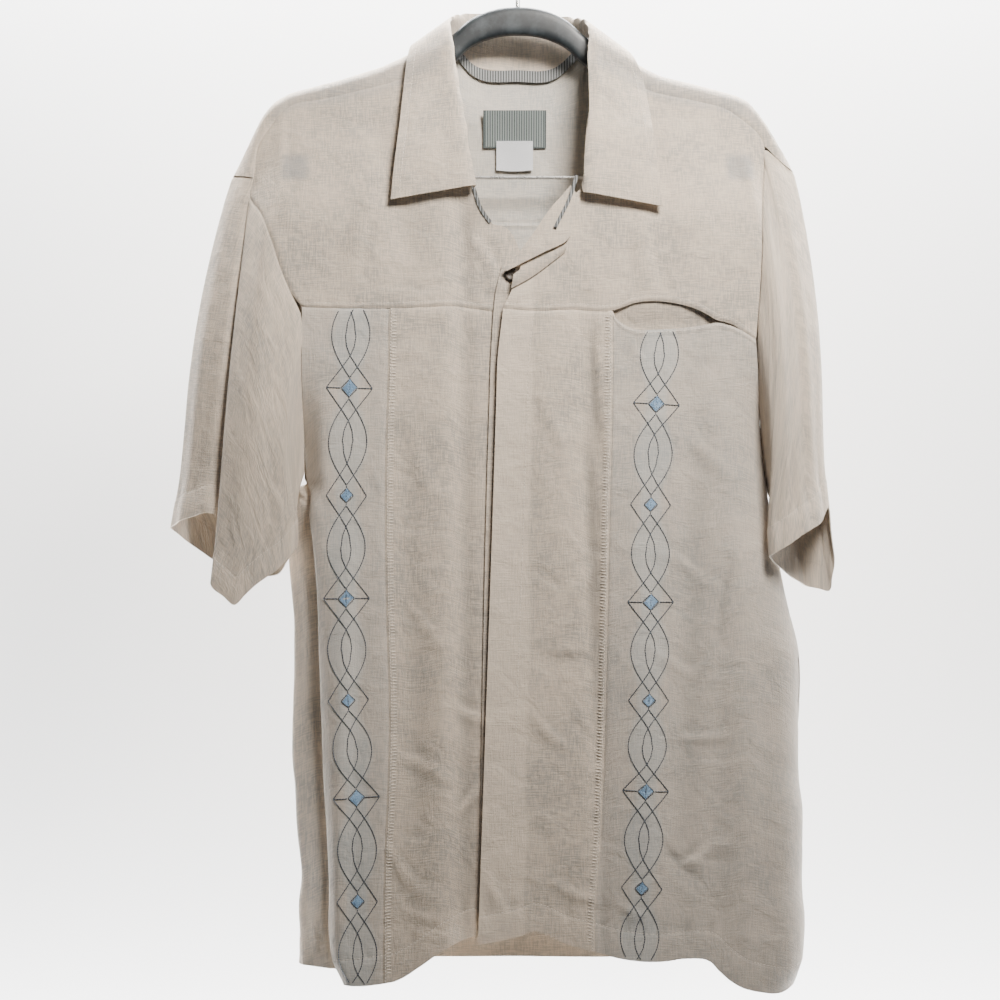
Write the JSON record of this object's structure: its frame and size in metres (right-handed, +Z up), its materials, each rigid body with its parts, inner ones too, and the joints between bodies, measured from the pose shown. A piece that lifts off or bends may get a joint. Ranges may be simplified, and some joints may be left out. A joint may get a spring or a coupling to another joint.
{
  "type": "button-up shirt on a hanger",
  "caption": "Short-sleeved linen camp shirt with notch collar, concealed fly, chest pocket and two embroidered bands, hung on a moulded hanger with a wire hook.",
  "frame": {"origin": "the inside top of the hanger's hook, where it hangs on a rail", "axes": "+Z up, the shirt's front faces -Y, the wearer's left is +X"},
  "size_m": [0.5952, 0.0846, 0.9516],
  "materials": {
    "linen": "natural woven linen, slubby and matt",
    "linen_band": "natural woven linen with an embroidered band",
    "tape": "woven tape with fine stripes",
    "label": "woven label with pin stripes",
    "care_label": "white satin label, bare",
    "button": "dark polished button",
    "hanger_plastic": "black moulded plastic",
    "wire": "plated steel wire"
  },
  "bodies": {
    "root": {"right_front_yoke": "linen", "right_front_centre": "linen", "right_front_side": "linen_band", "left_front_yoke": "linen", "left_front_centre": "linen", "left_front_side": "linen_band", "left_front_fly": "linen", "left_facing": "linen", "left_fly_top": "linen", "pocket_bag": "linen", "back_yoke": "linen", "back_body": "linen", "right_sleeve": "linen", "left_sleeve": "linen", "collar": "linen", "neck_tape": "tape", "neck_label": "label", "care_label": "care_label", "button_1": "button", "button_2": "button", "button_3": "button", "button_4": "button", "button_5": "button", "button_6": "button", "hanger_body": "hanger_plastic", "hanger_post_right": "hanger_plastic", "hanger_post_left": "hanger_plastic", "hanger_bar": "wire", "hanger_hook": "wire"}
  },
  "joints": []
}
